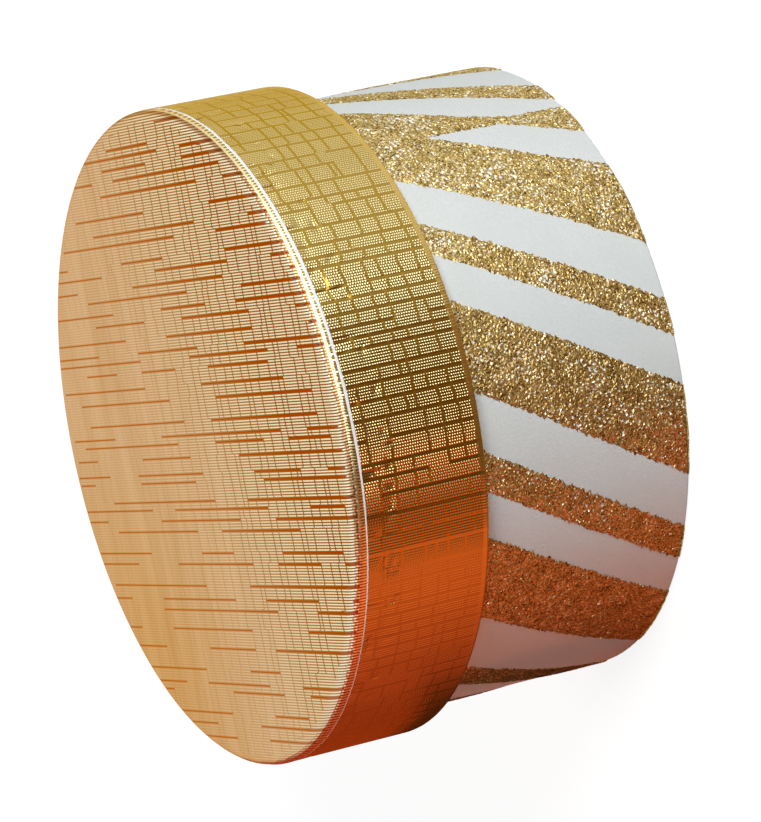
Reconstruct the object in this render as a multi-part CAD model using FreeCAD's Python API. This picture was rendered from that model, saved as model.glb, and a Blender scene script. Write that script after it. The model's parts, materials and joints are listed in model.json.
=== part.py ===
"""Round rigid gift box with a lift-off lid, modelled layer by layer as such a box is made.

The base is a wound board tube with a board disc set in its foot, wrapped in white paper that is
turned in at the mouth and turned under at the foot, lined inside and banded outside with glitter.
The lid is a board ring with a board disc set in its top, wrapped in gold paper and topped with a
gold paper disc that rolls over the edge. Sizes are millimetres. The box stands on Z = 0 and its
axis is Z.
"""

import FreeCAD
import Part
import math
import os

# Sizes of the base, over its wrap paper
BASE_DIAMETER = 75.0
BASE_HEIGHT = 44.22
BASE_WALL_BOARD = 1.5
BASE_FLOOR_BOARD = 1.5
BASE_TURN_IN = 10.0
BASE_TURN_UNDER = 7.0
BASE_SEAM_DEG = 68.0

# Sizes of the lid, from its lower edge to its top face
LID_HEIGHT = 17.52
LID_RIM_BOARD = 1.0
LID_TOP_BOARD = 1.5
LID_TURN_IN = 7.0
LID_EDGE_ROUND = 1.3
LID_EDGE_CUT = 0.45
LID_SEAM_DEG = 100.0

# Papers and how they are stuck down
WRAP_PAPER = 0.2
FOIL_PAPER = 0.25
TOP_PAPER = 0.25
LINER_PAPER = 0.12
BOTTOM_PAPER = 0.15
BOTTOM_PAPER_INSET = 1.6
LINER_MARGIN = 2.2
LINER_JOGGLE = 0.6
GLUE_LINE = 0.03
DISC_FIT = 0.05
SEAM_LAP = 8.0
SEAM_RAMP = 1.0

# Turned-under margin of the wrap, notched into tabs so that it lies flat
TAB_COUNT = 24
TAB_NOTCH = 1.6
TAB_ROOT_SHARE = 0.3

# Glitter bands: their thickness, how far they stay from the folds, and the lean of most of them
GLITTER_COAT = 0.2
GLITTER_FOOT_MARGIN = 0.05
GLITTER_MOUTH_MARGIN = 0.17
STRIPE_LEAN_DEG = 29.6

# Radial room between the glitter and the lid's lining
LID_CLEARANCE = 0.56

# Cuts run past what they cut by this much
OVERRUN = 2.0

# Leading and trailing edge of each straight band where it meets the foot, in degrees round the
# box, and the band's lean
STRAIGHT_STRIPES_DEG = [
    (3.6, -11.9, 28.5),
    (-25.2, -31.7, 26.3),
    (-79.7, -86.4, STRIPE_LEAN_DEG),
    (-95.5, -112.1, STRIPE_LEAN_DEG),
    (-122.9, -130.1, STRIPE_LEAN_DEG),
    (-138.9, -156.2, STRIPE_LEAN_DEG),
    (-170.4, -177.4, STRIPE_LEAN_DEG),
    (172.6, 156.1, STRIPE_LEAN_DEG),
    (145.6, 139.1, STRIPE_LEAN_DEG),
    (130.6, 113.6, STRIPE_LEAN_DEG),
    (60.6, 54.1, STRIPE_LEAN_DEG),
    (42.8, 26.3, STRIPE_LEAN_DEG),
    (17.1, 10.6, STRIPE_LEAN_DEG),
]

# The print has, in two places round the box, a thin band that bends and runs into the wide band
# beside it. Heights are shares of the band's height, and each edge is listed in degrees after its
# lean is taken off.
FORK_TURNS_DEG = (0.0, 140.0)
FORK_HEIGHT_SHARES = (0.0, 0.162, 0.207, 0.294, 0.472, 1.0)
FORK_EDGES_DEG = {
    "wide_lead": (-51.7, -53.0, -53.0, -53.0, -53.1, -53.1),
    "wide_trail": (-68.9, -68.9, -68.9, -68.9, -68.9, -68.9),
    "thin_lead": (-34.7, -40.8, -41.6, -42.8, -43.0, -43.0),
    "thin_trail": (-42.9, -43.7, -44.0, -47.3, -53.9, -55.4),
}

# Radii and levels of the base, outside in and from the floor up
base_radius = BASE_DIAMETER / 2
base_board_outer = base_radius - WRAP_PAPER - GLUE_LINE
base_board_inner = base_board_outer - BASE_WALL_BOARD
base_turn_in_inner = base_board_inner - GLUE_LINE - WRAP_PAPER
base_liner_outer = base_board_inner - GLUE_LINE
base_liner_inner = base_turn_in_inner - GLUE_LINE - LINER_PAPER
wrap_foot = BOTTOM_PAPER + GLUE_LINE
base_board_foot = wrap_foot + WRAP_PAPER + GLUE_LINE
base_board_top = BASE_HEIGHT - WRAP_PAPER - GLUE_LINE
floor_board_top = base_board_foot + BASE_FLOOR_BOARD
floor_liner_foot = floor_board_top + GLUE_LINE
floor_liner_top = floor_liner_foot + LINER_PAPER
base_seam_radius = base_radius + GLUE_LINE + WRAP_PAPER

# Radii of the lid, inside out from the glitter, and levels from the mouth of the base up
lid_inner = base_radius + GLUE_LINE + GLITTER_COAT + LID_CLEARANCE
lid_turn_in_inner = lid_inner + LINER_PAPER + GLUE_LINE
lid_board_inner = lid_turn_in_inner + FOIL_PAPER + GLUE_LINE
lid_board_outer = lid_board_inner + LID_RIM_BOARD
lid_radius = lid_board_outer + GLUE_LINE + FOIL_PAPER
lid_liner_outer = lid_board_inner - GLUE_LINE
lid_board_under = BASE_HEIGHT + LINER_PAPER + GLUE_LINE
lid_board_top = lid_board_under + LID_TOP_BOARD
lid_top = lid_board_top + GLUE_LINE + TOP_PAPER
lid_foot = lid_top - LID_HEIGHT
lid_board_foot = lid_foot + FOIL_PAPER + GLUE_LINE

# The top paper rolls over the lid's edge, ends in a short bare margin and meets the rim's wrap
top_paper_foot = lid_top - LID_EDGE_ROUND - LID_EDGE_CUT
rim_wrap_top = top_paper_foot - GLUE_LINE

AXIS_POINT = FreeCAD.Vector(0, 0, 0)
AXIS = FreeCAD.Vector(0, 0, 1)


def in_section(radius, height):
    """A point of the half section that is turned about the axis."""
    return FreeCAD.Vector(radius, 0, height)


def on_plan(radius, degrees, height=0):
    """A point at a radius and an angle round the box."""
    angle = math.radians(degrees)
    return FreeCAD.Vector(radius * math.cos(angle), radius * math.sin(angle), height)


def degrees_along(length, radius):
    """The angle that an arc of this length takes at a radius."""
    return math.degrees(length / radius)


def arc_edge(start, middle, end):
    return Part.Arc(start, middle, end).toShape()


def line_edge(start, end):
    return Part.LineSegment(start, end).toShape()


def turned(edges):
    """The solid that a closed half section sweeps round the axis."""
    face = Part.Face(Part.Wire(edges))
    return face.revolve(AXIS_POINT, AXIS, 360)


def closed_lines(points):
    """Straight edges through the points and back to the first."""
    return [line_edge(a, b) for a, b in zip(points, points[1:] + points[:1])]


def disc(radius, low, high):
    return Part.makeCylinder(radius, high - low, in_section(0, low))


def ring(inner, outer, low, high):
    overrun_low = in_section(0, low - OVERRUN)
    hole = Part.makeCylinder(inner, high - low + 2 * OVERRUN, overrun_low)
    return disc(outer, low, high).cut(hole)


def quarter_fold(corner_radius, corner_height, size, outward, upward):
    """A rounded paper corner as an arc edge, from its wall side to its flat side.

    The corner point is where the two paper faces would meet. outward and upward are 1 or -1 and
    say which way the corner points.
    """
    centre_radius = corner_radius - outward * size
    centre_height = corner_height - upward * size
    halfway = size * math.sqrt(0.5)
    wall = in_section(corner_radius, centre_height)
    middle = in_section(centre_radius + outward * halfway, centre_height + upward * halfway)
    flat = in_section(centre_radius, corner_height)
    return arc_edge(wall, middle, flat), wall, flat


def seam_pad(radius, rise, low, high, degrees):
    """The end of a wrap lying over its own start: a ramp, the lapped stretch and a cut step."""
    bite = rise / 2
    ramp_foot = degrees
    ramp_head = degrees + degrees_along(SEAM_RAMP, radius)
    step = ramp_head + degrees_along(SEAM_LAP, radius)
    middle = (ramp_head + step) / 2
    across = (ramp_foot + step) / 2
    edges = [
        line_edge(on_plan(radius - bite, ramp_foot, low), on_plan(radius, ramp_foot, low)),
        line_edge(on_plan(radius, ramp_foot, low), on_plan(radius + rise, ramp_head, low)),
        arc_edge(
            on_plan(radius + rise, ramp_head, low),
            on_plan(radius + rise, middle, low),
            on_plan(radius + rise, step, low),
        ),
        line_edge(on_plan(radius + rise, step, low), on_plan(radius - bite, step, low)),
        arc_edge(
            on_plan(radius - bite, step, low),
            on_plan(radius - bite, across, low),
            on_plan(radius - bite, ramp_foot, low),
        ),
    ]
    return Part.Face(Part.Wire(edges)).extrude(in_section(0, high - low))


def stepped_liner(board_side, lapped_inner, low, step_low, high, steps_inward_upward):
    """A lining ring that lies on the board and climbs over the edge of a turned-in wrap."""
    plain_outer = board_side
    plain_inner = board_side - LINER_PAPER
    lapped_outer = lapped_inner + LINER_PAPER
    step_high = step_low + LINER_JOGGLE
    if steps_inward_upward:
        outer_low, outer_high = plain_outer, lapped_outer
        inner_low, inner_high = plain_inner, lapped_inner
    else:
        outer_low, outer_high = lapped_outer, plain_outer
        inner_low, inner_high = lapped_inner, plain_inner
    points = [
        in_section(outer_low, low),
        in_section(outer_low, step_low),
        in_section(outer_high, step_high),
        in_section(outer_high, high),
        in_section(inner_high, high),
        in_section(inner_high, step_high),
        in_section(inner_low, step_low),
        in_section(inner_low, low),
    ]
    return turned(closed_lines(points))


# The base


def base_wall_board():
    return ring(base_board_inner, base_board_outer, base_board_foot, base_board_top)


def base_floor_board():
    return disc(base_board_inner - DISC_FIT, base_board_foot, floor_board_top)


def turn_under_notches():
    """Wedges between the tabs of the turned-under margin, pointing outward."""
    tip = base_radius - BASE_TURN_UNDER * TAB_ROOT_SHARE
    mouth = base_radius - BASE_TURN_UNDER - OVERRUN
    half_angle = degrees_along(TAB_NOTCH / 2, mouth)
    low = wrap_foot - WRAP_PAPER
    depth = in_section(0, base_board_foot + WRAP_PAPER - low)
    wedges = []
    for number in range(TAB_COUNT):
        middle = 360 * number / TAB_COUNT
        outline = closed_lines(
            [
                on_plan(tip, middle, low),
                on_plan(mouth, middle + half_angle, low),
                on_plan(mouth, middle - half_angle, low),
            ]
        )
        wedges.append(Part.Face(Part.Wire(outline)).extrude(depth))
    return wedges


def base_side_wrap():
    """White paper round the tube, turned in at the mouth and turned under at the foot."""
    fold = WRAP_PAPER + GLUE_LINE
    inside = base_board_outer + GLUE_LINE
    under_end = base_radius - BASE_TURN_UNDER
    turn_in_foot = BASE_HEIGHT - BASE_TURN_IN
    foot_fold, foot_wall, foot_flat = quarter_fold(base_radius, wrap_foot, fold, 1, -1)
    lip_fold, lip_wall, lip_flat = quarter_fold(base_radius, BASE_HEIGHT, fold, 1, 1)
    mouth_fold, mouth_wall, mouth_flat = quarter_fold(
        base_turn_in_inner, BASE_HEIGHT, fold, -1, 1
    )
    inner_points = [
        mouth_wall,
        in_section(base_turn_in_inner, turn_in_foot),
        in_section(base_board_inner - GLUE_LINE, turn_in_foot),
        in_section(base_board_inner - GLUE_LINE, base_board_top + GLUE_LINE),
        in_section(inside, base_board_top + GLUE_LINE),
        in_section(inside, base_board_foot - GLUE_LINE),
        in_section(under_end, base_board_foot - GLUE_LINE),
        in_section(under_end, wrap_foot),
        foot_flat,
    ]
    edges = [
        foot_fold,
        line_edge(foot_wall, lip_wall),
        lip_fold,
        line_edge(lip_flat, mouth_flat),
        mouth_fold,
    ]
    edges += [line_edge(a, b) for a, b in zip(inner_points, inner_points[1:])]
    wrap = turned(Part.__sortEdges__(edges))
    lap = seam_pad(
        base_radius, GLUE_LINE + WRAP_PAPER, foot_wall.z, lip_wall.z, BASE_SEAM_DEG
    )
    return wrap.cut(turn_under_notches()).fuse(lap).removeSplitter()


def base_bottom_paper():
    return disc(base_radius - BOTTOM_PAPER_INSET, 0, BOTTOM_PAPER)


def base_wall_liner():
    return stepped_liner(
        base_liner_outer,
        base_liner_inner,
        floor_liner_foot,
        BASE_HEIGHT - BASE_TURN_IN - GLUE_LINE - LINER_JOGGLE,
        BASE_HEIGHT - LINER_MARGIN,
        True,
    )


def base_floor_liner():
    radius = base_liner_outer - LINER_PAPER - DISC_FIT
    return disc(radius, floor_liner_foot, floor_liner_top)


# The glitter bands


def band(lead_degrees, trail_degrees, heights, radius):
    """One glitter band on the outside of a cylinder of this radius.

    The edges are given in degrees at each height, and the band is what lies between them.
    """
    inside = radius - OVERRUN
    outside = radius * math.sqrt(2)
    sections = []
    for lead, trail, height in zip(lead_degrees, trail_degrees, heights):
        corners = [
            on_plan(inside, lead, height),
            on_plan(outside, lead, height),
            on_plan(outside, trail, height),
            on_plan(inside, trail, height),
        ]
        sections.append(Part.Wire(closed_lines(corners)))
    between_edges = Part.makeLoft(sections, True, True)
    coat = ring(radius, radius + GLITTER_COAT, heights[0], heights[-1])
    return coat.common(between_edges)


def leaned(foot_degrees, height, lean_degrees):
    """Where an edge that starts at the foot has got to at a height."""
    travel = height * math.tan(math.radians(lean_degrees))
    return foot_degrees + degrees_along(travel, base_radius)


def seam_sector(first, last):
    """A wedge from the axis past the wrap, over the whole height."""
    far = base_radius * math.sqrt(2)
    outline = closed_lines([on_plan(0, 0), on_plan(far, first), on_plan(far, last)])
    return Part.Face(Part.Wire(outline)).extrude(in_section(0, BASE_HEIGHT))


def laid_on_wrap(edges_at_radius):
    """A band on the wrap, cut at the seam, where it steps up onto the lapped paper."""
    seam_top = BASE_SEAM_DEG + degrees_along(SEAM_RAMP, base_radius)
    seam_end = seam_top + degrees_along(SEAM_LAP, base_radius)
    step_gap = degrees_along(GLUE_LINE, base_radius)
    whole_seam = seam_sector(BASE_SEAM_DEG - step_gap, seam_end + step_gap)
    lapped = seam_sector(seam_top, seam_end)
    on_paper = edges_at_radius(base_radius + GLUE_LINE).cut(whole_seam)
    on_lap = edges_at_radius(base_seam_radius + GLUE_LINE).common(lapped)
    return on_paper.Solids + on_lap.Solids


def straight_stripe(lead, trail, lean):
    heights = stripe_heights((0, 1))
    leads = [leaned(lead, height, lean) for height in heights]
    trails = [leaned(trail, height, lean) for height in heights]
    return laid_on_wrap(lambda radius: band(leads, trails, heights, radius))


def forked_stripe(turn):
    """A wide band with a thin one that runs into it part of the way up."""
    heights = stripe_heights(FORK_HEIGHT_SHARES)
    edges = {}
    for name, angles in FORK_EDGES_DEG.items():
        edges[name] = [leaned(a + turn, z, STRIPE_LEAN_DEG) for a, z in zip(angles, heights)]

    def joined(radius):
        wide = band(edges["wide_lead"], edges["wide_trail"], heights, radius)
        thin = band(edges["thin_lead"], edges["thin_trail"], heights, radius)
        return wide.fuse(thin).removeSplitter()

    return laid_on_wrap(joined)


def stripe_heights(shares):
    low = base_board_foot + GLITTER_FOOT_MARGIN
    high = base_board_top - GLITTER_MOUTH_MARGIN
    return [low + share * (high - low) for share in shares]


def glitter_stripes():
    """Every band by name, the straight ones first and the forked ones after them."""
    stripes = [straight_stripe(*stripe) for stripe in STRAIGHT_STRIPES_DEG]
    stripes += [forked_stripe(turn) for turn in FORK_TURNS_DEG]
    names = [f"glitter_stripe_{number:02d}" for number in range(1, len(stripes) + 1)]
    return {name: Part.makeCompound(solids) for name, solids in zip(names, stripes)}


# The lid


def edge_arc(offset):
    """The rolled edge this far inside the paper's face: its arc, its side end and its flat end."""
    return quarter_fold(lid_radius - offset, lid_top - offset, LID_EDGE_ROUND - offset, 1, 1)


def under_top_paper():
    """Everything below the glued underside of the top paper and inside its turned-down margin."""
    arc, side, flat = edge_arc(TOP_PAPER + GLUE_LINE)
    low_axis = in_section(0, lid_foot - OVERRUN)
    high_axis = in_section(0, flat.z)
    low_side = in_section(side.x, lid_foot - OVERRUN)
    edges = [
        line_edge(low_axis, high_axis),
        line_edge(high_axis, flat),
        arc,
        line_edge(side, low_side),
        line_edge(low_side, low_axis),
    ]
    return turned(Part.__sortEdges__(edges))


def lid_rim_board():
    blank = ring(lid_board_inner, lid_board_outer, lid_board_foot, lid_top)
    return blank.common(under_top_paper())


def lid_top_board():
    return disc(lid_board_inner - DISC_FIT, lid_board_under, lid_board_top)


def lid_rim_wrap():
    """Gold paper round the rim, from the top paper's margin down, turned in at the lower edge."""
    fold = FOIL_PAPER + GLUE_LINE
    inside = lid_board_outer + GLUE_LINE
    turn_in_top = lid_foot + LID_TURN_IN
    outer_fold, outer_wall, outer_flat = quarter_fold(lid_radius, lid_foot, fold, 1, -1)
    inner_fold, inner_wall, inner_flat = quarter_fold(
        lid_turn_in_inner, lid_foot, fold, -1, -1
    )
    outer_points = [
        in_section(inside, rim_wrap_top),
        in_section(lid_radius, rim_wrap_top),
        outer_wall,
    ]
    inner_points = [
        inner_wall,
        in_section(lid_turn_in_inner, turn_in_top),
        in_section(lid_board_inner - GLUE_LINE, turn_in_top),
        in_section(lid_board_inner - GLUE_LINE, lid_board_foot - GLUE_LINE),
        in_section(inside, lid_board_foot - GLUE_LINE),
        in_section(inside, rim_wrap_top),
    ]
    edges = [line_edge(a, b) for a, b in zip(outer_points, outer_points[1:])]
    edges += [outer_fold, line_edge(outer_flat, inner_flat), inner_fold]
    edges += [line_edge(a, b) for a, b in zip(inner_points, inner_points[1:])]
    wrap = turned(Part.__sortEdges__(edges))
    rise = GLUE_LINE + FOIL_PAPER
    lap = seam_pad(lid_radius, rise, outer_wall.z, rim_wrap_top, LID_SEAM_DEG)
    return wrap.fuse(lap).removeSplitter()


def lid_top_paper():
    """Gold paper disc rolled over the edge, with a bare margin where its white core shows."""
    upper_arc, upper_side, upper_flat = edge_arc(0)
    lower_arc, lower_side, lower_flat = edge_arc(TOP_PAPER)
    upper_axis = in_section(0, upper_flat.z)
    lower_axis = in_section(0, lower_flat.z)
    outer_end = in_section(upper_side.x, top_paper_foot)
    inner_end = in_section(lower_side.x, top_paper_foot)
    edges = [
        line_edge(upper_axis, upper_flat),
        upper_arc,
        line_edge(upper_side, outer_end),
        line_edge(outer_end, inner_end),
        line_edge(inner_end, lower_side),
        lower_arc,
        line_edge(lower_flat, lower_axis),
        line_edge(lower_axis, upper_axis),
    ]
    return turned(Part.__sortEdges__(edges))


def lid_rim_liner():
    return stepped_liner(
        lid_liner_outer,
        lid_inner,
        lid_foot + LINER_MARGIN,
        lid_foot + LID_TURN_IN + GLUE_LINE,
        lid_board_under - GLUE_LINE,
        False,
    )


def lid_top_liner():
    radius = lid_liner_outer - LINER_PAPER - DISC_FIT
    return disc(radius, BASE_HEIGHT, BASE_HEIGHT + LINER_PAPER)


def all_pieces():
    pieces = {
        "base_wall_board": base_wall_board(),
        "base_floor_board": base_floor_board(),
        "base_side_wrap": base_side_wrap(),
        "base_bottom_paper": base_bottom_paper(),
        "base_wall_liner": base_wall_liner(),
        "base_floor_liner": base_floor_liner(),
        "lid_rim_board": lid_rim_board(),
        "lid_top_board": lid_top_board(),
        "lid_rim_wrap": lid_rim_wrap(),
        "lid_top_paper": lid_top_paper(),
        "lid_rim_liner": lid_rim_liner(),
        "lid_top_liner": lid_top_liner(),
    }
    pieces.update(glitter_stripes())
    return pieces


def main():
    os.makedirs("parts", exist_ok=True)
    for name, shape in all_pieces().items():
        shape.exportStep(os.path.join("parts", name + ".step"))
        solids = len(shape.Solids)
        print(f"{name}: {solids} solid(s), {shape.Volume:.1f} mm3, valid {shape.isValid()}")


main()
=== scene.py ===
"""Looks of a round gift box: embossed gold papers on the lid, white wrap and glitter below."""

import json
import math

import bpy
import numpy as np
from mathutils import Matrix, Vector
from mathutils.geometry import delaunay_2d_cdt

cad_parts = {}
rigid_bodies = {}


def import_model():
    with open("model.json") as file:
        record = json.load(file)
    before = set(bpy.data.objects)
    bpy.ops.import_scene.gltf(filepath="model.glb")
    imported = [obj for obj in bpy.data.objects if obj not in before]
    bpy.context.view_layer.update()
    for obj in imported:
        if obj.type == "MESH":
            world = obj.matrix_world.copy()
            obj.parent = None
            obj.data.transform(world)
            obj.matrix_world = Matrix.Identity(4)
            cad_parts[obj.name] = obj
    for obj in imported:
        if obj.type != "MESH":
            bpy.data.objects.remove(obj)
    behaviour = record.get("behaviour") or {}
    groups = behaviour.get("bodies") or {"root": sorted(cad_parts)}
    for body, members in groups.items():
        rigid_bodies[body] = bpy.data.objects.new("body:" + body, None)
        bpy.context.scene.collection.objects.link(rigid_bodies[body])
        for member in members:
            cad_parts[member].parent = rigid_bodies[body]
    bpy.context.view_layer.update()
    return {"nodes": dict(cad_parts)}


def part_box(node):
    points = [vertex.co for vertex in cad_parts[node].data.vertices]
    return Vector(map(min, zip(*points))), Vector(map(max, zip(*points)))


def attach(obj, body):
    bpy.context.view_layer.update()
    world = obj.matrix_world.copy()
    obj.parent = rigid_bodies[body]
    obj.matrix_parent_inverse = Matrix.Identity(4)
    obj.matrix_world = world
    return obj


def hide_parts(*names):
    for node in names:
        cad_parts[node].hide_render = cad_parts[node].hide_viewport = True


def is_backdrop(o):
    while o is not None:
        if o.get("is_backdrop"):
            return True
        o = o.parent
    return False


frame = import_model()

MM = 0.001


def box_mm(node):
    low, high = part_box(node)
    return [c / MM for c in low], [c / MM for c in high]


# Sizes in millimetres, read from the frame where a node gives them
(_, _, MARGIN_FOOT), (LID_R, _, LID_TOP) = box_mm("lid_top_paper")
(_, _, LID_FOOT), (_, _, RIM_TOP) = box_mm("lid_rim_wrap")
(_, _, WRAP_FOOT), (BASE_R, _, _) = box_mm("base_side_wrap")
(_, _, GLITTER_FOOT), (_, _, GLITTER_TOP) = box_mm("glitter_stripe_01")
TOP_PAPER = 0.25
FOIL_PAPER = 0.25
WRAP_PAPER = 0.2
GLUE = 0.03
EDGE_ROUND = 1.3
EDGE_START = LID_R - EDGE_ROUND
# How far the top foil runs on below its roll, by degrees round the lid
FOIL_RUN_ON = (
    (-180, -125, -105, -90, -50, -20, 40, 180),
    (0.25, 0.25, 0.2, 0.05, 0.0, 0.1, 0.15, 0.25),
)
RIM_BOARD = 1.0
LID_TURN_IN = 7.0
SEAM_LAP = 8.0
SEAM_RAMP = 1.0
LID_SEAM_DEG = 100.0
BASE_SEAM_DEG = 68.0
# Fold of the base's wrap at the foot, and how far the glitter runs on round it
FOLD = WRAP_PAPER + GLUE
FOLD_Z = WRAP_FOOT + FOLD
FOLD_REACH = 0.28
FLAKE_LOWEST = 0.04

# Weave of the embossed papers: rows of pillows, with some rows and some cross columns pressed flat
ROW = 0.336
GROOVE_DEPTH = 0.05
PRESS_DEPTH = 0.045
COLUMN_DEPTH = 0.015
DEEPEST = 0.17
# How much a groove beside a pressed row is pressed with it
BESIDE_PRESSED = 0.3
# How far below the rim's top edge its mesh is finer, to hold the wrinkles
FINE_BELOW = 4.5
DISC_SEED, RIM_SEED, GLITTER_SEED = 11, 23, 100
# How strongly the disc's emboss stands out, by mm from its near side to its far side
DISC_RELIEF = ((-27, -10, 0, 12, 25), (1.0, 0.62, 0.32, 0.16, 0.1))
# The same, by share of the disc's roll
ROLL_RELIEF = ((0.1, 0.45), (1.0, 0.3))
# How strongly the rim's emboss stands out, by degrees round the lid
RIM_RELIEF = (
    (-180, -112, -103, -74, -67, -50, -32, -5, 15, 40, 150, 172, 180),
    (0.3, 0.3, 0.9, 1.0, 0.8, 0.6, 0.42, 0.3, 0.4, 1.0, 1.0, 0.35, 0.3),
)
# How strongly the rim's pressed lines show, by degrees round the lid
RIM_LINES = ((-180, -116, -104, 150, 180), (0.55, 0.55, 1.0, 1.0, 0.55))
# How much painted warm reflection of an orange ground the rim's dots carry, by degrees round the
# lid
RIM_WARM_LIGHT = ((-180, -105, -96, -72, 180), (1.0, 1.0, 0.8, 0.0, 0.0))
# Wrinkles in the rim's wrap: degrees round, mm below its top edge, half width, half height, depth
WRINKLES = [
    (-54.0, 3.3, 0.5, 0.3, 0.09),
    (-61.5, 3.2, 0.45, 0.35, 0.1),
    (-68.5, 3.5, 0.35, 0.4, 0.11),
    (-77.5, 3.4, 0.5, 0.35, 0.17),
    (-84.5, 3.6, 0.7, 0.4, 0.17),
    (-91.5, 3.5, 0.5, 0.4, 0.17),
    (-93.5, 3.9, 0.3, 0.5, 0.17),
    (-97.0, 3.5, 0.45, 0.55, 0.17),
    (-100.5, 3.3, 0.35, 0.5, 0.16),
    (-113.0, 2.3, 0.5, 0.3, 0.15),
]
# Random dents in the same wrap, as ranges of those five values
DENTS, DENT_COUNT = ((0, 360), (0.4, 3.6), (0.25, 1.5), (0.3, 0.7), (0.04, 0.15)), 70
# Random dents along the wrinkles: mm below the top edge and their spread, then ranges of sizes
LINE_DENT_BELOW, LINE_DENT_COUNT = (3.4, 0.22), 60
LINE_DENT_SIZES = ((0.25, 0.8), (0.2, 0.45), (0.07, 0.17))
# A crease round the same wrap: mm below its top edge, half height, depth
CREASE_BELOW, CREASE_TALL, CREASE_DEEP = 2.6, 0.45, 0.08
# Pleats at the same edge: degrees apart, depth, height, and how many degrees one slants over
PLEAT_APART, PLEAT_DEEP, PLEAT_TALL, PLEAT_SLANT = (5.0, 13.0), (0.08, 0.34), (1.2, 3.6), 4.5
# Folds in the same wrap: degrees round, depth, mm down from its top edge, degrees wide
RIM_FOLDS = [
    (-66.5, 0.3, 3.4, 2.5),
    (-75.0, 0.28, 3.2, 3.0),
    (-41.0, 0.22, 2.6, 3.5),
    (-104.5, 0.3, 4.6, 6.0),
]

# Spacing of the glitter's flakes, and of the points of its back
FLAKE = 0.19
BACK_STEP = 1.0
# How high the crust stands at its edge, elsewhere, where the paper shows through, and at its back
EDGE_LIFT = (0.02, 0.09)
FLAKE_LIFT = (0.06, 0.17)
BARE_LIFT = (0.012, 0.03)
BACK_LIFT = 0.004
# Steps along a band's edge, and how ragged it is across and along
EDGE_STEP, EDGE_RAGGED, EDGE_JITTER = 0.2, 0.13, 0.05
# Lengths of the waves that make the bare places and their clouds, and what makes a place bare
BARE_WAVES, CLOUD_WAVES = (0.4, 0.75), (5.0, 14.0)
BARE_ABOVE, CLOUD_SHARE = 1.5, 0.28
# How thickly the glitter lies, by degrees round the base: the paper shows through where it is thin
GLITTER_THICK = (
    (-180, -135, -112, -98, -84, -76, -66, -57, -40, 0, 180),
    (1.8, 1.5, 0.9, 0.15, 0.05, 0.35, 0.35, -0.1, -0.05, 0.3, 0.3),
)

# Leading and trailing edge of each glitter band at the foot, in degrees, and its lean
LEAN = 29.6
STRAIGHT_STRIPES = [
    (3.6, -11.9, 28.5),
    (-25.2, -31.7, 26.3),
    (-79.7, -86.4, LEAN),
    (-95.5, -112.1, LEAN),
    (-122.9, -130.1, LEAN),
    (-138.9, -156.2, LEAN),
    (-170.4, -177.4, LEAN),
    (172.6, 156.1, LEAN),
    (145.6, 139.1, LEAN),
    (130.6, 113.6, LEAN),
    (60.6, 54.1, LEAN),
    (42.8, 26.3, LEAN),
    (17.1, 10.6, LEAN),
]
# Forked bands: degrees that each is turned, and edges of their two arms at shares of the height
FORK_TURNS = (0.0, 140.0)
FORK_SHARES = (0.0, 0.162, 0.207, 0.294, 0.472, 1.0)
FORK_WIDE = ((-51.7, -53.0, -53.0, -53.0, -53.1, -53.1), (-68.9,) * 6)
FORK_THIN = (
    (-34.7, -40.8, -41.6, -42.8, -43.0, -43.0),
    (-42.9, -43.7, -44.0, -47.3, -53.9, -55.4),
)


# Meshes


def make_piece(name, verts, faces, body, nodes, materials, first_faces=None):
    """A flat-shaded piece for some nodes. Faces past first_faces have the second material."""
    mesh = bpy.data.meshes.new(name)
    mesh.from_pydata((np.asarray(verts) * MM).tolist(), [], faces)
    for material in materials:
        mesh.materials.append(material)
    if first_faces is not None:
        second = np.arange(len(faces)) >= first_faces
        mesh.polygons.foreach_set("material_index", second.astype(np.int32))
    mesh.polygons.foreach_set("use_smooth", np.zeros(len(mesh.polygons), bool))
    mesh.update()
    piece = bpy.data.objects.new(name, mesh)
    bpy.context.scene.collection.objects.link(piece)
    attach(piece, body)
    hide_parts(*nodes)
    return piece


def add_attribute(piece, name, values, domain="POINT"):
    layer = piece.data.attributes.new(name, "FLOAT", domain)
    layer.data.foreach_set("value", np.asarray(values, np.float32))


def weave_uv(piece, along, across, wrap=None):
    """UV in millimetres: along the rows, and across them. wrap is the length round a ring."""
    mesh = piece.data
    layer = mesh.uv_layers.new(name="weave")
    index = np.empty(len(mesh.loops), np.int32)
    mesh.loops.foreach_get("vertex_index", index)
    uv = np.stack([along[index], across[index]], axis=1)
    if wrap is not None:
        starts = np.empty(len(mesh.polygons), np.int32)
        totals = np.empty(len(mesh.polygons), np.int32)
        mesh.polygons.foreach_get("loop_start", starts)
        mesh.polygons.foreach_get("loop_total", totals)
        owner = np.repeat(np.arange(len(starts)), totals)
        highest = np.full(len(starts), -1e9)
        np.maximum.at(highest, owner, uv[:, 1])
        behind = highest[owner] - uv[:, 1] > wrap / 2
        uv[behind, 1] += wrap
    layer.data.foreach_set("uv", uv.astype(np.float32).ravel())


def round_pairs(count):
    """Each place round a ring with the next one."""
    return [(j, (j + 1) % count) for j in range(count)]


def rolled(r, depth):
    """Radius and height of a point of the lid's top that lies depth below the paper's face."""
    lean = np.clip((r - EDGE_START) / EDGE_ROUND, 0.0, 1.0)
    upright = np.sqrt(1 - lean**2)
    return r - depth * lean, LID_TOP - EDGE_ROUND * (1 - upright) - depth * upright


def lap_rise(theta_deg, radius, start_deg, rise):
    """Extra radius where the end of a wrap lies over its start."""
    ramp = math.degrees(SEAM_RAMP / radius)
    lap = math.degrees(SEAM_LAP / radius)
    past = (np.asarray(theta_deg) - start_deg) % 360.0
    height = np.clip(past / ramp, 0.0, 1.0)
    return np.where(past <= ramp + lap, height, 0.0) * rise


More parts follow.
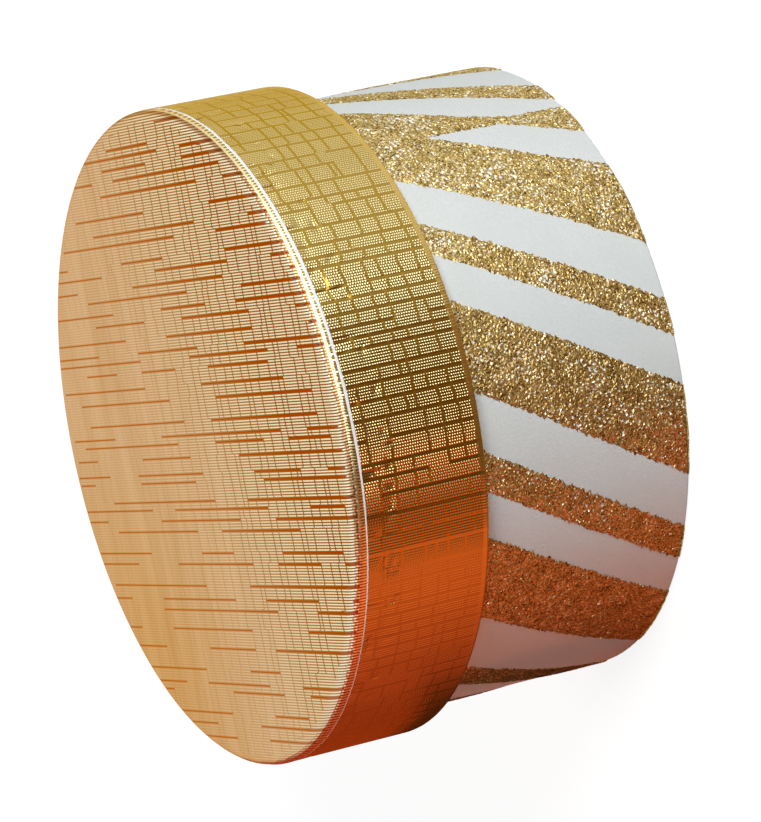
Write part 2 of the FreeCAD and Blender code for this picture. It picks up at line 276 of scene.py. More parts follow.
def smooth_noise(rng, period, count, value):
    """A sum of count - 2 sines round a ring, for slow unevenness."""
    total = np.zeros_like(value)
    for turns in range(2, count):
        phase = rng.uniform(0, 2 * math.pi)
        total += np.sin(2 * math.pi * turns * value / period + phase) / turns
    return total


def pressed_rows(rng, first, last, columns, gap_rows, run, gap):
    """Rows pressed flat: for each, the stretches between cross columns where it is pressed."""
    rows = {}
    row = first + int(rng.integers(2, 5))
    while row < last:
        stretches = []
        column = -int(rng.integers(0, run[1]))
        while column < columns:
            length = int(rng.integers(*run))
            stretches.append((max(column, 0), min(column + length, columns - 1)))
            column += length + int(rng.integers(*gap))
        rows[row] = [s for s in stretches if s[1] > s[0]]
        row += int(rng.integers(*gap_rows))
    return rows


def spaced(rng, low, high, step):
    """Places from low to high, each a random step after the last."""
    places = []
    place = low + rng.uniform(*step) / 2
    while place < high:
        places.append(place)
        place += rng.uniform(*step)
    return np.array(places)


def column_shifts(rng, blocks, columns, reach, keep):
    """How far each cross column is off in each block of rows; a block may keep its neighbour's."""
    shifts = rng.uniform(-reach, reach, (blocks, columns))
    for block in range(1, blocks):
        same = rng.random(columns) < keep
        shifts[block, same] = shifts[block - 1, same]
    return shifts


def lid_disc(materials):
    """Top paper of the lid: woven emboss, rolled edge, white cut edge and plain back."""
    rng = np.random.default_rng(DISC_SEED)
    column_half, crossed, off_side, off_roll = 0.22, 0.95, 0.04, 0.06
    count = int(LID_R / ROW)
    lines = []
    for k in range(-count, count + 1):
        lines += [(k * ROW, k, 1), (k * ROW + ROW / 2, k, 0)]
    lines = [line for line in lines if abs(line[0]) < LID_R - off_side]
    columns = spaced(rng, -LID_R, LID_R, step=(1.6, 3.1))
    runs = {"gap_rows": (3, 9), "run": (4, 15), "gap": (3, 9)}
    rows = pressed_rows(rng, -count, count, len(columns), **runs)
    row_keys = sorted(rows)
    y_lines = np.sort(np.concatenate([columns - column_half, columns, columns + column_half]))
    y_column = np.repeat(np.arange(len(columns)), 3)
    y_middle = np.tile([0, 1, 0], len(columns))
    cross = rng.random((len(row_keys) + 1, len(columns))) < crossed
    shifts = column_shifts(rng, len(row_keys) + 1, len(columns), reach=0.6, keep=0.4)
    levels = np.array([0.2, 0.4, 0.58, 0.74, 0.88])

    pts, crown, pressed, strips = [], [], [], []

    def add(x, y, crown_value, pressed_value):
        pts.append((x, y))
        crown.append(crown_value)
        pressed.append(pressed_value)
        return len(pts) - 1

    for x, k, is_crown in lines:
        y_flat = math.sqrt(max(EDGE_START**2 - x * x, 0.0))
        start_lean = math.asin(max(abs(x) - EDGE_START, 0.0) / EDGE_ROUND)
        block = int(np.searchsorted(row_keys, k))
        neighbours = [k] if is_crown else [k, k + 1]
        flat_runs = [s for n in neighbours for s in rows.get(n, [])]
        weight = 1.0 if is_crown else BESIDE_PRESSED

        def pressing(y):
            return weight * any(columns[a] <= y <= columns[b] for a, b in flat_runs)

        low_side, high_side = [], []
        for sign, side in ((-1, low_side), (1, high_side)):
            for t in (1.0, *levels[::-1], 0.0):
                lean = start_lean + (math.pi / 2 - start_lean) * t
                reach = EDGE_START + EDGE_ROUND * math.sin(lean)
                y = sign * (y_flat if t == 0.0 else math.sqrt(max(reach**2 - x * x, 0.0)))
                if t == 0.0 and y_flat == 0.0 and sign == 1:
                    side.append(low_side[-1])
                    continue
                side.append(add(x, y, is_crown, pressing(y)))
        places = y_lines + shifts[block, y_column]
        inside = np.nonzero(np.abs(places) < y_flat - off_roll)[0]
        middle = []
        for j in inside:
            value = pressing(y_lines[j])
            crown_value = is_crown if value < 1 else 0
            if y_middle[j] and cross[block, y_column[j]]:
                crown_value = 0
            middle.append(add(x, places[j], crown_value, value))
        first = int(inside[0]) if len(inside) else 0
        strips.append((low_side, high_side, first, middle))

    left = add(-LID_R, 0.0, 1, 0.0)
    right = add(LID_R, 0.0, 1, 0.0)
    faces = []

    def between(a, b):
        """Faces between two neighbouring lines, over the flat part."""
        low_a, high_a, first_a, mid_a = a
        low_b, high_b, first_b, mid_b = b
        start = max(first_a, first_b)
        end = min(first_a + len(mid_a), first_b + len(mid_b))
        if end <= start:
            ring = [low_a[-1], low_b[-1], *mid_b, high_b[-1], high_a[-1], *mid_a[::-1]]
            ring = list(dict.fromkeys(ring))
            if len(ring) > 2:
                faces.append(ring)
            return
        cut_a, cut_b = start - first_a, start - first_b
        count_mid = end - start
        faces.append([low_a[-1], low_b[-1], *mid_b[: cut_b + 1], *mid_a[: cut_a + 1][::-1]])
        for j in range(count_mid - 1):
            faces.append(
                [mid_a[cut_a + j], mid_b[cut_b + j], mid_b[cut_b + j + 1], mid_a[cut_a + j + 1]]
            )
        last_a, last_b = cut_a + count_mid - 1, cut_b + count_mid - 1
        faces.append([*mid_b[last_b:], high_b[-1], high_a[-1], *mid_a[last_a:][::-1]])

    for a, b in zip(strips, strips[1:]):
        for t in range(len(levels) + 1):
            faces.append([a[0][t], b[0][t], b[0][t + 1], a[0][t + 1]])
            faces.append([a[1][t + 1], b[1][t + 1], b[1][t], a[1][t]])
        between(a, b)
    (low_side, high_side, *_), last = strips[0], strips[-1]
    faces.append([left, *low_side, *[v for v in high_side[::-1] if v != low_side[-1]]])
    faces.append([right, *last[1], *[v for v in last[0][::-1] if v != last[1][-1]]])
    ring = [left, *[s[0][0] for s in strips], right, *[s[1][0] for s in strips[::-1]]]
    xy = np.array(pts)
    r = np.hypot(xy[:, 0], xy[:, 1])
    crown = np.array(crown, float)
    pressed = np.array(pressed)
    depth = np.where(pressed == 1, PRESS_DEPTH, np.where(crown > 0, 0.0, GROOVE_DEPTH))
    relief = np.interp(xy[:, 1] - 0.35 * xy[:, 0], *DISC_RELIEF)
    turned = np.clip((r - EDGE_START) / EDGE_ROUND, 0.0, 1.0)
    smoothed = np.interp(turned, *ROLL_RELIEF)
    lower_r, z = rolled(r, depth * (0.4 + 0.6 * relief) * smoothed)
    xy = xy * (lower_r / np.maximum(r, 1e-6))[:, None]
    rim = np.array(ring)
    angle = np.arctan2(xy[rim, 1], xy[rim, 0])
    out = np.column_stack([np.cos(angle), np.sin(angle)])
    ragged = 0.02 * smooth_noise(rng, 2 * math.pi, 90, angle) + rng.uniform(0.0, 0.03, len(rim))
    inside = LID_R - TOP_PAPER
    cut_step, cut_drop, foot_step, foot_ragged, foot_lift = 0.12, 0.01, 0.015, 0.03, 0.02
    under_lean = math.pi / 4
    inner_round = EDGE_ROUND - TOP_PAPER
    run_on = np.interp(np.degrees(angle), *FOIL_RUN_ON) + 0.6 * ragged
    foil_end = LID_TOP - EDGE_ROUND - np.clip(run_on, 0.01, 0.3)
    skirt = [
        (np.hypot(xy[rim, 0], xy[rim, 1]), foil_end),
        (LID_R - cut_step, foil_end - cut_drop),
        (LID_R - foot_step, MARGIN_FOOT + np.clip(ragged + foot_ragged, 0.0, 0.1)),
        (inside, MARGIN_FOOT + foot_lift),
        (inside, LID_TOP - EDGE_ROUND),
        (
            EDGE_START + inner_round * math.sin(under_lean),
            LID_TOP - EDGE_ROUND + inner_round * math.cos(under_lean),
        ),
        (EDGE_START, LID_TOP - TOP_PAPER),
    ]
    n, m = len(xy), len(rim)
    sheets = [np.column_stack([xy, z])]
    for radius, height in skirt:
        spread = out * np.broadcast_to(radius, m)[:, None]
        sheets.append(np.column_stack([spread, np.broadcast_to(height, m)]))
    verts = np.concatenate([*sheets, [[0.0, 0.0, LID_TOP - TOP_PAPER]]])
    for j, k in round_pairs(m):
        faces.append([n + j, n + k, ring[k], ring[j]])
    foil_faces = len(faces)
    for j, k in round_pairs(m):
        for i in range(len(skirt) - 1):
            a, b = n + i * m, n + (i + 1) * m
            faces.append([b + j, b + k, a + k, a + j])
        last_ring = n + (len(skirt) - 1) * m
        faces.append([last_ring + k, last_ring + j, len(verts) - 1])
    piece = make_piece(
        "lid_top_foil", verts, faces, "lid", ["lid_top_paper"], materials, foil_faces
    )
    # Painted warm reflection of an orange ground, growing toward -X and +Y
    warm_light = np.clip(-xy[:, 0] / 25.0, 0.0, 1.0) * np.clip((xy[:, 1] + 8.0) / 30.0, 0.0, 1.0)
    spare = np.zeros(len(verts) - n - m)
    marks = {"crown": crown, "pressed": pressed, "relief": relief, "rolled": turned, "warm_light": warm_light}
    for label, values in marks.items():
        add_attribute(piece, label, np.concatenate([values, values[rim], spare]))
    weave_uv(piece, verts[:, 1], verts[:, 0])


def lid_rim(materials):
    """Wrap of the lid's rim: woven emboss outside, folded under and turned in at the open edge."""
    rng = np.random.default_rng(RIM_SEED)
    column_half, column_shoulder, crossed = 0.12, 0.2, 0.88
    smooth_edge = (0.62, 0.4)
    sink, swing, faint_edge = 0.03, 0.03, 0.1
    rows_round = int(round(2 * math.pi * LID_R / ROW))
    step = 360.0 / rows_round
    theta = np.arange(2 * rows_round) * step / 2
    row_of = np.arange(2 * rows_round) // 2
    col_crown = 1 - np.arange(2 * rows_round) % 2
    across = theta / 360.0 * 2 * math.pi * LID_R
    lap = lap_rise(theta, LID_R, LID_SEAM_DEG, GLUE + FOIL_PAPER)

    fold = FOIL_PAPER + GLUE
    low = LID_FOOT + fold
    top = RIM_TOP
    columns = spaced(rng, low + 1.0, top - 0.9, step=(1.7, 2.9))
    runs = {"gap_rows": (4, 9), "run": (7, 18), "gap": (1, 3)}
    rows = pressed_rows(rng, 0, rows_round, len(columns) + 2, **runs)
    row_keys = sorted(rows)
    ends = np.concatenate([[low - 1], columns, [top + 1]])
    cross = rng.random((len(row_keys) + 1, len(columns))) < crossed
    shifts = column_shifts(rng, len(row_keys) + 1, len(columns), reach=0.7, keep=0.4)

    n = len(theta)
    around_deg = (theta + 180.0) % 360.0 - 180.0
    faint = np.interp(around_deg, *RIM_RELIEF)
    shown_lines = np.interp(around_deg, *RIM_LINES)
    block = np.searchsorted(row_keys, row_of)
    rings = [(top, np.full(n, top), -1)]
    for c in range(len(columns) - 1, -1, -1):
        for side in (column_shoulder, column_half, -column_half, -column_shoulder):
            place = columns[c] + side
            if side == column_shoulder:
                above = rings[-1]
                steps = 4 if above[0] > top - FINE_BELOW else 2
                for share in np.arange(1, steps) / steps:
                    z = above[1] + (place + shifts[block, c] - above[1]) * share
                    rings.append((above[0] + (place - above[0]) * share, z, -1))
            column = c if abs(side) == column_half else -1
            rings.append((place, place + shifts[block, c], column))
    for above in smooth_edge:
        rings.append((low + above, np.full(n, low + above), -1))
    rings.append((low, np.full(n, low), -1))

    pleat_at = np.cumsum(rng.uniform(*PLEAT_APART, 60))
    pleat_at = pleat_at[pleat_at < 352.0]
    pleat_deep = rng.uniform(*PLEAT_DEEP, len(pleat_at))
    pleat_tall = rng.uniform(*PLEAT_TALL, len(pleat_at))
    pleat = np.searchsorted(pleat_at, theta) % len(pleat_at)
    behind = (pleat_at[pleat] - theta) % 360.0
    slant = np.clip(1.0 - behind / PLEAT_SLANT, 0.0, 1.0) ** 1.5
    slow = 0.02 * smooth_noise(rng, 360.0, 24, theta)
    dents = [[rng.uniform(*ends_of) for ends_of in DENTS] for _ in range(DENT_COUNT)]
    for _ in range(LINE_DENT_COUNT):
        size = [rng.uniform(*ends_of) for ends_of in LINE_DENT_SIZES]
        dents.append((rng.uniform(0, 360), rng.normal(*LINE_DENT_BELOW), *size))
    dents += WRINKLES
    crease = np.clip(smooth_noise(rng, 360.0, 40, theta), 0.0, 1.2) * CREASE_DEEP
    radial, height, crown, pressed, relief = [], [], [], [], []
    for nominal, z, c in rings:
        press = np.zeros(n)
        for k, stretches in rows.items():
            if any(ends[a] <= nominal <= ends[b] for a, b in stretches):
                press[2 * k] = 1
                press[2 * k + 1] = press[2 * k - 1] = BESIDE_PRESSED
        in_row = press == 1
        if c >= 0:
            press = np.maximum(press, cross[block, c])
        depth = np.where(press == 1, PRESS_DEPTH, np.where(col_crown > 0, 0.0, GROOVE_DEPTH))
        if c >= 0:
            depth = np.where((press == 1) & (col_crown > 0) & ~in_row, COLUMN_DEPTH, depth)
        dent = np.zeros(n)
        for where, below, wide, tall, deep in dents:
            off = ((theta - where + 180) % 360 - 180) / 360 * 2 * math.pi * LID_R
            dent += deep * np.exp(-((off / wide) ** 2) - ((top - z - below) / tall) ** 2)
        dent += crease * np.exp(-(((top - z - CREASE_BELOW) / CREASE_TALL) ** 2))
        for where, deep, tall, wide in RIM_FOLDS:
            before = (where - around_deg) % 360.0
            rise = np.clip(1.0 - before / wide, 0.0, 1.0)
            dent += deep * rise * np.clip(1.3 - 1.3 * (top - z) / tall, 0.0, 1.0)
        dent += pleat_deep[pleat] * slant * np.clip(1.0 - (top - z) / pleat_tall[pleat], 0.0, 1.0)
        embossed = nominal > low + smooth_edge[0] - 0.01
        shown = faint * (1.0 if embossed else faint_edge)
        sunk = np.clip(depth * (0.3 + 0.7 * shown) + dent, 0.0, DEEPEST)
        radial.append(LID_R + lap - sunk - sink + np.clip(slow, -swing, swing))
        height.append(z)
        crown.append(np.where(press == 1, 0, col_crown))
        pressed.append(press * shown_lines if embossed else np.zeros(n))
        relief.append(shown)
    inner = LID_R - fold - RIM_BOARD - fold
    around = np.linspace(0, math.pi / 2, 4)[1:]
    path = [(LID_R - fold + fold * math.cos(a), low - fold * math.sin(a)) for a in around]
    path += [(inner + fold - fold * math.sin(a), low - fold * math.cos(a)) for a in (0, *around)]
    path += [(inner, LID_FOOT + LID_TURN_IN)]
    outer_points = 3
    for number, (r, z) in enumerate(path):
        share = 1.0 - number / outer_points if number < outer_points else 0.0
        radial.append(r + lap * share - sink * share - 0.3 * GROOVE_DEPTH * (1 - col_crown))
        height.append(np.full(n, z))
        crown.append(col_crown.copy())
        pressed.append(np.zeros(n))
        relief.append(np.full(n, faint_edge))

    rad = np.radians(theta)
    grid = []
    for r, z in zip(radial, height):
        grid.append(np.column_stack([r * np.cos(rad), r * np.sin(rad), z]))
    n_rows = len(grid)
    faces = []
    for i in range(n_rows - 1):
        a, b = i * n, (i + 1) * n
        for j, k in round_pairs(n):
            faces.append([a + j, b + j, b + k, a + k])
    foil_faces = len(faces)
    coarse = 8
    back_theta = rad[::coarse]
    m = len(back_theta)
    back_path = [
        (LID_R - FOIL_PAPER, top + 0.02),
        (LID_R - FOIL_PAPER, low - GLUE),
        (inner + FOIL_PAPER, low - GLUE),
        (inner + FOIL_PAPER, LID_FOOT + LID_TURN_IN),
    ]
    start = n_rows * n
    for r, z in back_path:
        ring = [r * np.cos(back_theta), r * np.sin(back_theta), np.full(m, z)]
        grid.append(np.column_stack(ring))
    for i in range(len(back_path) - 1):
        a, b = start + i * m, start + (i + 1) * m
        for j, k in round_pairs(m):
            faces.append([a + k, b + k, b + j, a + j])
    last_row, last_back = (n_rows - 1) * n, start + (len(back_path) - 1) * m
    for j, k in round_pairs(m):
        fine = [(j * coarse + s) % n for s in range(coarse + 1)]
        faces.append([start + j, *fine, start + k])
        faces.append([last_back + k, *[last_row + f for f in fine[::-1]], last_back + j])
    verts = np.concatenate(grid)
    piece = make_piece(
        "lid_rim_foil", verts, faces, "lid", ["lid_rim_wrap"], materials, foil_faces
    )
    spare = np.zeros(len(verts) - start)
    # Painted warm reflection of an orange ground, by degrees round the lid
    warm_light = [np.interp(around_deg, *RIM_WARM_LIGHT)] * n_rows
    marks = {"crown": crown, "pressed": pressed, "relief": relief, "warm_light": warm_light}
    for label, values in marks.items():
        add_attribute(piece, label, np.concatenate([*values, spare]))
    along = np.concatenate([verts[:start, 2], spare])
    over = np.concatenate([np.tile(across, n_rows), np.tile(across[::coarse], len(back_path))])
    weave_uv(piece, along, over, 2 * math.pi * LID_R)


def leaned(degrees, z, lean):
    """Degrees round the base of a line that starts at the foot and leans as it rises to z."""
    return degrees + np.degrees(z * math.tan(math.radians(lean)) / BASE_R)


def stripe_outline(rng, lead, trail, heights, lean):
    """Ragged outline of a glitter band on the unrolled wrap, in millimetres."""
    scale = math.radians(1) * BASE_R

    def edge(degrees):
        points = []
        for z in np.arange(heights[0] - FOLD_REACH, heights[-1], EDGE_STEP):
            middle = leaned(np.interp(z, heights, degrees), z, lean) * scale
            off = rng.normal(0, EDGE_RAGGED)
            points.append((middle + off, z + rng.uniform(-EDGE_JITTER, EDGE_JITTER)))
        return points

    return edge(lead), edge(trail)


def fill_outlines(outlines, inner):
    """Triangles over the union of some outlines, its border, and where each given point went."""
    coords, loops = [], []
    for outline in outlines:
        loops.append(list(range(len(coords), len(coords) + len(outline))))
        coords += outline
    result = delaunay_2d_cdt([Vector(c) for c in coords + inner], [], loops, 1, 1e-4)
    flat = np.array([tuple(v) for v in result[0]])
    tris = np.array(result[2], dtype=int)
    used = {(int(a), int(b)) for tri in tris for a, b in zip(tri, np.roll(tri, -1))}
    border = sorted((a, b) for a, b in used if (b, a) not in used)
    went = {old: new for new, olds in enumerate(result[3]) for old in olds}
    return flat, tris, border, went


def closed_loops(border):
    """Loops of points that a border's edges make."""
    follows = dict(border)
    loops = []
    while follows:
        at = min(follows)
        loop = []
        while at in follows:
            loop.append(at)
            at = follows.pop(at)
        loops.append(loop)
    return loops


def scattered(rng, bands, spacing, loose):
    """Points spread over the bands, on the unrolled wrap."""
    scale = math.radians(1) * BASE_R
    above_foot, below_top, off_trail, off_lead = 0.12, 0.1, 0.14, 0.12
    points = []
    for lead, trail, heights, lean in bands:
        low, high = heights[0] - FOLD_REACH + above_foot, heights[-1] - below_top
        for z in np.arange(low, high, spacing * 0.87):
            a = leaned(np.interp(z, heights, trail), z, lean) * scale
            b = leaned(np.interp(z, heights, lead), z, lean) * scale
            for s in np.arange(a + off_trail + rng.uniform(0, spacing), b - off_lead, spacing):
                points.append((s + rng.normal(0, loose), z + rng.normal(0, loose)))
    return points


def patchy(rng, flat, shortest, longest):
    """A smooth random value over the unrolled wrap, about zero, from waves of these lengths."""
    count = 28
    heading = rng.uniform(0, 2 * math.pi, count)
    pace = 2 * math.pi / rng.uniform(shortest, longest, count)
    phase = rng.uniform(0, 2 * math.pi, count)
    total = np.zeros(len(flat))
    for a, k, p in zip(heading, pace, phase):
        total += np.cos(k * (math.cos(a) * flat[:, 0] + math.sin(a) * flat[:, 1]) + p)
    return total * math.sqrt(2 / count)


def glitter(name, node, bands, seed, materials):
    """One band of glitter: a closed crust of small facets over the wrap, on a plainer back."""
    rng = np.random.default_rng(seed)
    outlines = []
    for lead, trail, heights, lean in bands:
        lead_edge, trail_edge = stripe_outline(rng, lead, trail, heights, lean)
        outlines.append(trail_edge[::-1] + lead_edge)
    flat, tris, border, _ = fill_outlines(outlines, scattered(rng, bands, FLAKE, FLAKE * 0.3))
    loops = closed_loops(border)
    edges = [[tuple(flat[j]) for j in loop] for loop in loops]
    back, back_tris, _, went = fill_outlines(edges, scattered(rng, bands, BACK_STEP, 0.0))
    on_border = np.zeros(len(flat), bool)
    on_border[[a for a, _ in border]] = True
    edge_lift = rng.uniform(*EDGE_LIFT, len(flat))
    lift = np.where(on_border, edge_lift, rng.uniform(*FLAKE_LIFT, len(flat)))
    thick = np.interp((np.degrees(flat[:, 0] / BASE_R) + 180) % 360 - 180, *GLITTER_THICK)
    waves, clouds = patchy(rng, flat, *BARE_WAVES), patchy(rng, flat, *CLOUD_WAVES)
    bare = (waves > BARE_ABOVE + thick - CLOUD_SHARE * clouds) & ~on_border
    lift = np.where(bare, rng.uniform(*BARE_LIFT, len(flat)), lift)
    sheets = []
    for sheet, height in ((flat, lift), (back, BACK_LIFT)):
        theta = sheet[:, 0] / BASE_R
        rise = lap_rise(np.degrees(theta), BASE_R, BASE_SEAM_DEG, GLUE + WRAP_PAPER)
        turn = np.clip((FOLD_Z - sheet[:, 1]) / FOLD, 0.0, None)
        over = FOLD + rise + height
        r = BASE_R - FOLD + over * np.cos(turn)
        under = np.maximum(FOLD_Z - (FOLD + height) * np.sin(turn), FLAKE_LOWEST)
        z = np.where(turn > 0, under, sheet[:, 1])
        sheets.append(np.column_stack([r * np.cos(theta), r * np.sin(theta), z]))
    n = len(flat)
    verts = np.concatenate(sheets)
    under = {j: n + went[place] for place, j in enumerate(j for loop in loops for j in loop)}
    faces = [list(tri) for tri in tris] + [[n + j for j in tri[::-1]] for tri in back_tris]
    for a, b in border:
        faces.append([b, a, under[a], under[b]])
    if not faces_out(verts, tris):
        faces = [face[::-1] for face in faces]
    piece = make_piece(name, verts, faces, "base", [node], materials)
    add_attribute(piece, "flake", rng.random(len(faces)), "FACE")
    add_attribute(piece, "bare", np.concatenate([bare.astype(float), np.zeros(len(verts) - n)]))


def faces_out(verts, tris):
    """Whether the first triangle looks away from the box's axis."""
    a, b, c = verts[tris[0, 0]], verts[tris[0, 1]], verts[tris[0, 2]]
    normal = np.cross(b - a, c - a)
    return float(normal[0] * a[0] + normal[1] * a[1]) > 0


# Materials


class Nodes:
    """Small helper round the nodes of a new material or world."""

    def __init__(self, name, kind="materials", shader="Principled BSDF"):
        self.owner = getattr(bpy.data, kind).new(name)
        self.owner.use_nodes = True
        self.tree = self.owner.node_tree
        self.shader = self.tree.nodes[shader]

    def add(self, kind, feeds=None, **settings):
        """A new node with its settings, and what feeds its sockets."""
        node = self.tree.nodes.new(kind)
        for key, value in settings.items():
            setattr(node, key, value)
        for socket, source in (feeds or {}).items():
            self.value(node.inputs[socket], source)
        return node

    def value(self, target, source):
        """Feed a socket from a number, a colour or another socket."""
        if isinstance(source, (int, float)):
            target.default_value = source
        elif isinstance(source, tuple):
            target.default_value = (*source, 1.0)
        else:
            self.tree.links.new(source, target)

    def set(self, name, source):
        """Feed one of the shader's own sockets."""
        self.value(self.shader.inputs[name], source)

    def math(self, operation, *terms):
        feeds = dict(enumerate(terms))
        return self.add("ShaderNodeMath", feeds, operation=operation).outputs[0]

    def times(self, a, b):
        return self.math("MULTIPLY", a, b)

    def place(self):
        return self.add("ShaderNodeTexCoord").outputs["Object"]

    def xyz(self, vector):
        return self.add("ShaderNodeSeparateXYZ", {0: vector}).outputs

    def attribute(self, name):
        return self.add("ShaderNodeAttribute", attribute_name=name).outputs["Fac"]

    def mix(self, share, a, b):
        feeds = {"Factor": share, "A": a, "B": b}
        return self.add("ShaderNodeMix", feeds, data_type="RGBA").outputs["Result"]

    def ramp(self, share, stops):
        """A colour ramp from stops of a place and a colour, with or without its alpha."""
        node = self.add("ShaderNodeValToRGB", {"Fac": share})
        elements = node.color_ramp.elements
        while len(elements) < len(stops):
            elements.new(0.5)
        for element, (place, colour) in zip(elements, stops):
            element.position = place
            element.color = (*colour, 1.0)[:4]
        return node.outputs

    def noise(self, scale, detail=2.0, roughness=0.5, at=None):
        if at is None:
            at = self.place()
        feeds = {"Vector": at, "Scale": scale, "Detail": detail, "Roughness": roughness}
        return self.add("ShaderNodeTexNoise", feeds).outputs["Fac"]

    def span(self, source, low, high):
        """low where the source is 0, high where it is 1."""
        feeds = {"Value": source, "To Min": low, "To Max": high}
        return self.add("ShaderNodeMapRange", feeds).outputs["Result"]

    def step(self, source, low, high, least=0.0):
        """0 (or least) below low, 1 above high, smooth between."""
        feeds = {"Value": source, "From Min": low, "From Max": high, "To Min": least}
        node = self.add("ShaderNodeMapRange", feeds, interpolation_type="SMOOTHSTEP")
        return node.outputs["Result"]

    def bump(self, height, distance):
        node = self.add("ShaderNodeBump", {"Strength": 1.0, "Distance": distance, "Height": height})
        self.set("Normal", node.outputs["Normal"])


# Marks of the lid's rolled edge, each fading in between two shares of the roll: the pale line,
# partly painted highlight, its shaded end, and dimmed rows and darkened pressed lines, which are
# painted shade against the lamp's glare
PALE_EDGE, SHADED_END = (0.86, 0.92), (0.95, 0.975)
ROWS_DIM, LINES_DARKEN = (0.5, 0.75), (0.25, 0.6)
# The last two, and the pale line at its plainest, are on the upper side, toward +X, which fades in
# between these metres along X
UPPER_SIDE = (-0.016, -0.01)
ROW_DIMMING, LINE_DARKENING = 0.65, 0.75
# Colour of the pressed lines darkened there, painted shade
DARK_LINE = (0.06, 0.012, 0.003)


def foil(name, tones, faint_tones, edge_tint, band, pillow, dots, tilt, rough, roll=None):
    """Embossed metallised paper: rows of short pillows, smooth darker pressed lines, with painted
    highlights and painted reflections in its colours.

    tones are the colours of crowns, of crowns in the painted warm reflection, of grooves and of
    pressed lines; the pale crowns are partly painted highlight, the dark grooves and lines partly
    painted reflection. faint_tones are those where the emboss is faint: the face's darkest and
    palest, the same in the painted warm reflection, and the lines. band is where a row turns from
    groove to crown, pillow a pillow's length in mm, dots how dark it is between pillows, painted
    shade round the painted highlights on their crests, tilt how far they lean and rough the ends of
    the roughness. roll has the colours of a rolled edge: its pale line, partly painted highlight on
    the side toward +X, its shaded end and the flecks there.
    """
    crown_and_highlight, crown_in_warm_light, groove_and_reflection, line_and_reflection = tones
    n = Nodes(name)
    # Where the painted warm reflection lies
    warm_light = n.attribute("warm_light")
    crown = n.step(n.attribute("crown"), *band)
    pressed = n.step(n.attribute("pressed"), 0.45, 0.8)
    relief = n.attribute("relief")
    uv = n.add("ShaderNodeUVMap", uv_map="weave")
    along, across, _ = n.xyz(uv.outputs["UV"])
    row = n.math("ROUND", n.math("DIVIDE", across, ROW))
    start = n.add("ShaderNodeTexWhiteNoise", {"W": row}, noise_dimensions="1D")
    waver = n.span(n.noise(1000.0, 1.0), -0.5, 0.5)
    phase = n.math("ADD", start.outputs["Value"], waver)
    turn = n.math("ADD", n.math("DIVIDE", along, pillow), phase)
    wave = n.times(turn, 2 * math.pi)
    # From here the colours carry painted light: pale pillow crests are painted highlights with
    # painted shade between them, dark grooves and lines are painted reflection, and the warm mark
    # adds a painted warm reflection
    swell_highlight = n.step(n.math("COSINE", wave), -0.85, 0.05, 1.0 - dots)
    patch = n.noise(260.0, 3.0)
    bright = n.mix(warm_light, crown_and_highlight, crown_in_warm_light)
    body = n.mix(n.times(crown, swell_highlight), groove_and_reflection, bright)
    body = n.mix(n.span(patch, 0.0, 0.14), body, groove_and_reflection)
    place = n.place()
    stretch = n.add("ShaderNodeMapping", {"Vector": place})
    stretch.inputs["Scale"].default_value = (0.12, 1.0, 0.12)
    streaks = n.noise(330.0, 2.0, at=stretch.outputs["Vector"])
    cool_face, face_in_warm_light, faint_line = faint_tones
    face = n.mix(warm_light, n.mix(streaks, *cool_face), n.mix(streaks, *face_in_warm_light))
    body = n.mix(relief, face, body)
    line = n.mix(relief, faint_line, line_and_reflection)
    # On the roll's side toward +X the pressed lines darken and the rows dim: painted shade against
    # the lamp's glare
    if roll:
        pale, shade, fleck = roll
        side = n.attribute("rolled")
        upper = n.step(n.xyz(place)[0], *UPPER_SIDE)
        glare = n.times(n.step(side, *LINES_DARKEN), upper)
        line = n.mix(n.times(glare, LINE_DARKENING), line, DARK_LINE)
        turning = n.times(n.step(side, *ROWS_DIM), upper)
        body = n.mix(n.times(turning, ROW_DIMMING), body, groove_and_reflection)
    colour = n.mix(pressed, body, line)
    # The roll's pale line, plain only on the side toward +X, is partly painted highlight
    if roll:
        pale = n.mix(upper, n.mix(crown, groove_and_reflection, pale), pale)
        colour = n.mix(n.step(side, *PALE_EDGE), colour, pale)
        colour = n.mix(n.step(side, *SHADED_END), colour, n.mix(crown, shade, fleck))
    n.set("Base Color", colour)
    n.set("Metallic", 1.0)
    n.set("Specular Tint", edge_tint)
    n.set("Roughness", n.span(n.noise(4200.0, 2.0), *rough))
    slope = n.times(n.math("SINE", wave), n.times(n.times(crown, relief), tilt))
    leaning = n.math("ADD", n.times(slope, 0.5), 0.5)
    vector = n.add("ShaderNodeCombineColor", {0: leaning, 1: 0.5, 2: 1.0})
    normal = n.add("ShaderNodeNormalMap", {"Color": vector.outputs[0]}, uv_map="weave")
    n.set("Normal", normal.outputs["Normal"])
    return n.owner


def paper(name, colour, shade, grain_size=0.00022, depth=0.00003, mottle=0.22):
    """Matt paper with a fine tooth and faint clouding."""
    n = Nodes(name)
    cloud = n.noise(140.0, 4.0)
    fibre = n.noise(1 / grain_size, 3.0, 0.6)
    tone = n.mix(n.span(cloud, 0.0, 0.5), colour, shade)
    n.set("Base Color", n.mix(n.span(fibre, 0.0, mottle), tone, shade))
    n.set("Roughness", n.span(fibre, 0.62, 0.78))
    n.set("Specular IOR Level", 0.35)
    n.bump(fibre, depth)
    return n.owner


def board(name):
    """Grey board of recycled fibre, with darker and lighter specks."""
    n = Nodes(name)
    fibre = n.noise(2600.0, 5.0, 0.65)
    speck = n.noise(900.0, 2.0)
    stops = [(0.3, (0.24, 0.21, 0.17)), (0.7, (0.46, 0.42, 0.36))]
    body = n.ramp(fibre, stops)["Color"]
    n.set("Base Color", n.mix(n.span(speck, 0.0, 0.4), body, (0.34, 0.3, 0.25)))
    n.set("Roughness", 0.85)
    n.bump(fibre, 0.00006)
    return n.owner


